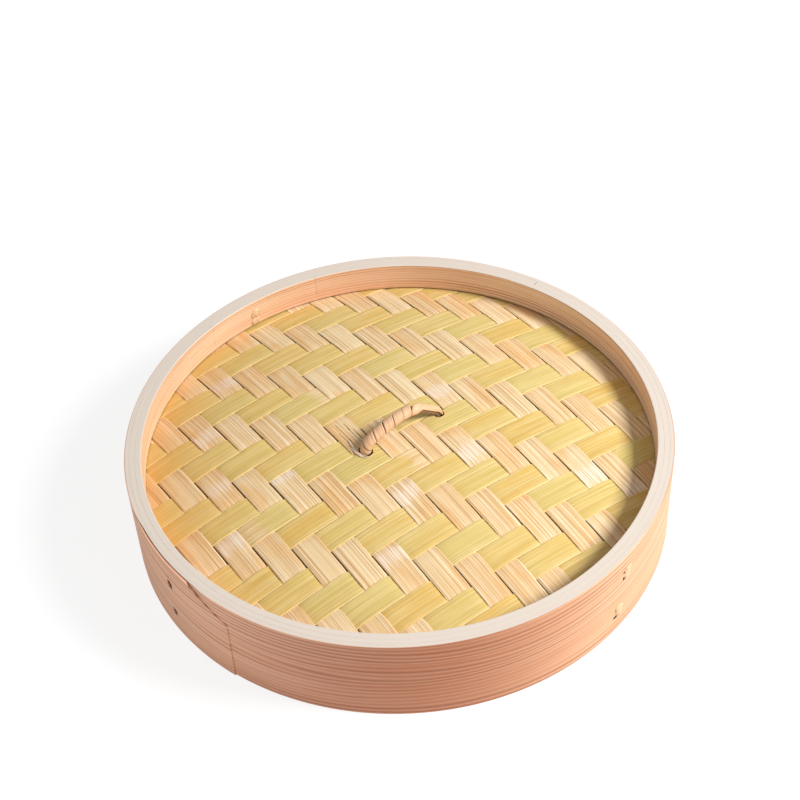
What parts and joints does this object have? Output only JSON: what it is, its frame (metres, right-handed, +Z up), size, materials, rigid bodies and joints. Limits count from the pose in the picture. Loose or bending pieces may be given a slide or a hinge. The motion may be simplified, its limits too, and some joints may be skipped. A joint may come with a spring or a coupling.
{
  "type": "bamboo steamer lid",
  "caption": "Round steamer lid: a bent wood rim of lapped plies holds a domed twill panel of woven bamboo strips with a cane-wrapped loop handle that leans.",
  "frame": {"origin": "middle of the rim's lower edge, the plane the lid rests on", "axes": "+Z up through the middle of the lid, +X along the smooth yellow strips, +Y along the grained tan strips"},
  "size_m": [0.2052, 0.2057, 0.0461],
  "materials": {
    "outer_wood": "sanded, unvarnished",
    "core_wood": "sanded, unvarnished",
    "lining_wood": "planed, unvarnished",
    "smooth_bamboo": "smooth bamboo skin side, satin",
    "grained_bamboo": "split bamboo, fibrous, matt",
    "stitch_cane": "split cane, matt",
    "handle_cane": "split cane, satin"
  },
  "bodies": {
    "lid": {"core_hoop": "core_wood", "lap_stitch_lower": "stitch_cane", "lap_stitch_upper": "stitch_cane", "lower_inner_hoop": "lining_wood", "outer_hoop": "outer_wood", "side_stitch_lower": "stitch_cane", "side_stitch_upper": "stitch_cane", "splice_stitch_lower": "stitch_cane", "splice_stitch_upper": "stitch_cane", "tan_strip_01": "grained_bamboo", "tan_strip_02": "grained_bamboo", "tan_strip_03": "grained_bamboo", "tan_strip_04": "grained_bamboo", "tan_strip_05": "grained_bamboo", "tan_strip_06": "grained_bamboo", "tan_strip_07": "grained_bamboo", "tan_strip_08": "grained_bamboo", "tan_strip_09": "grained_bamboo", "tan_strip_10": "grained_bamboo", "tan_strip_11": "grained_bamboo", "tan_strip_12": "grained_bamboo", "tan_strip_13": "grained_bamboo", "tan_strip_14": "grained_bamboo", "tan_strip_15": "grained_bamboo", "tan_strip_16": "grained_bamboo", "tan_strip_17": "grained_bamboo", "tan_strip_18": "grained_bamboo", "tan_strip_19": "grained_bamboo", "tan_strip_20": "grained_bamboo", "upper_hoop_splice": "lining_wood", "upper_inner_hoop": "lining_wood", "yellow_strip_01": "smooth_bamboo", "yellow_strip_02": "smooth_bamboo", "yellow_strip_03": "smooth_bamboo", "yellow_strip_04": "smooth_bamboo", "yellow_strip_05": "smooth_bamboo", "yellow_strip_06": "smooth_bamboo", "yellow_strip_07": "smooth_bamboo", "yellow_strip_08": "smooth_bamboo", "yellow_strip_09": "smooth_bamboo", "yellow_strip_10": "smooth_bamboo", "yellow_strip_11": "smooth_bamboo", "yellow_strip_12": "smooth_bamboo", "yellow_strip_13": "smooth_bamboo", "yellow_strip_14": "smooth_bamboo", "yellow_strip_15": "smooth_bamboo", "yellow_strip_16": "smooth_bamboo", "yellow_strip_17": "smooth_bamboo", "yellow_strip_18": "smooth_bamboo", "yellow_strip_19": "smooth_bamboo", "yellow_strip_20": "smooth_bamboo"},
    "handle": {"handle_core": "handle_cane", "handle_wrap": "handle_cane"}
  },
  "joints": [
    {"name": "handle_lean", "type": "hinge", "parent": "lid", "child": "handle", "pos_m": [0.00101, -0.0008, 0.03505], "axis": [1, 0, 0], "range_deg": [-25, 25]}
  ]
}
